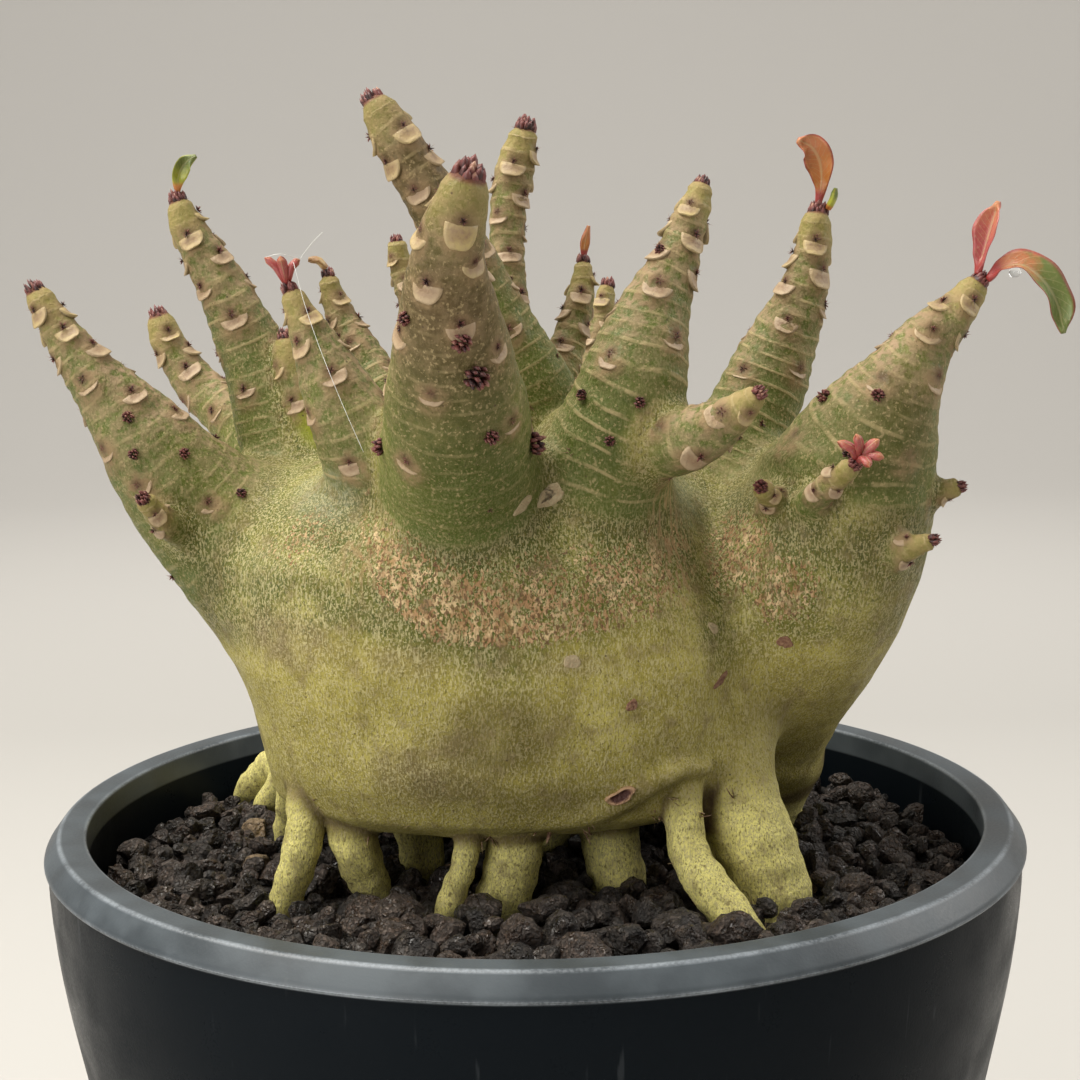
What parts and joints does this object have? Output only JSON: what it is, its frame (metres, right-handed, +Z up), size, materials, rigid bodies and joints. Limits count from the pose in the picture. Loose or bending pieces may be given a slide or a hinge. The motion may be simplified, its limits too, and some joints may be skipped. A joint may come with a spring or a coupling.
{
  "type": "potted desert rose adenium",
  "caption": "Squat swollen caudex with a crown of stubby ringed branches and a few young leaves, standing on its roots in dark gravel in a round dark plastic pot.",
  "frame": {"origin": "on the pot's axis, in the middle of the flat base that it stands on", "axes": "+Z up along the pot's axis; -Y is the side with the large forward-leaning branch, which the picture was taken from; +X is to the right of that view"},
  "size_m": [0.1843, 0.1812, 0.2605],
  "materials": {
    "pot": "blue-black moulded plastic, semi-gloss wall, rim worn paler",
    "gravel": "damp black and dark brown porous grit",
    "caudex": "living green bark, yellow-green below, corky tan patches and cream leaf scars above",
    "leaf_green": "soft satin young leaf, yellow-green",
    "leaf_orange": "soft satin young leaf, orange",
    "leaf_red": "soft satin young leaf, pink-red",
    "leaf_mixed": "soft satin leaf, green outside and orange-pink inside",
    "leaf_dry": "dried leaf scale, brown"
  },
  "bodies": {
    "root": {"pot": "pot", "gravel": "gravel", "caudex": "caudex", "leaf_left_tall": "leaf_green", "leaf_short_back": "leaf_orange", "leaf_back_crown_dry": "leaf_dry", "leaf_right_tall_long": "leaf_orange", "leaf_right_tall_short": "leaf_green", "leaf_far_right_upright": "leaf_red", "leaf_far_right_arched": "leaf_mixed", "tuft_front_left": "leaf_red", "tuft_far_right_stub": "leaf_red"}
  },
  "joints": []
}
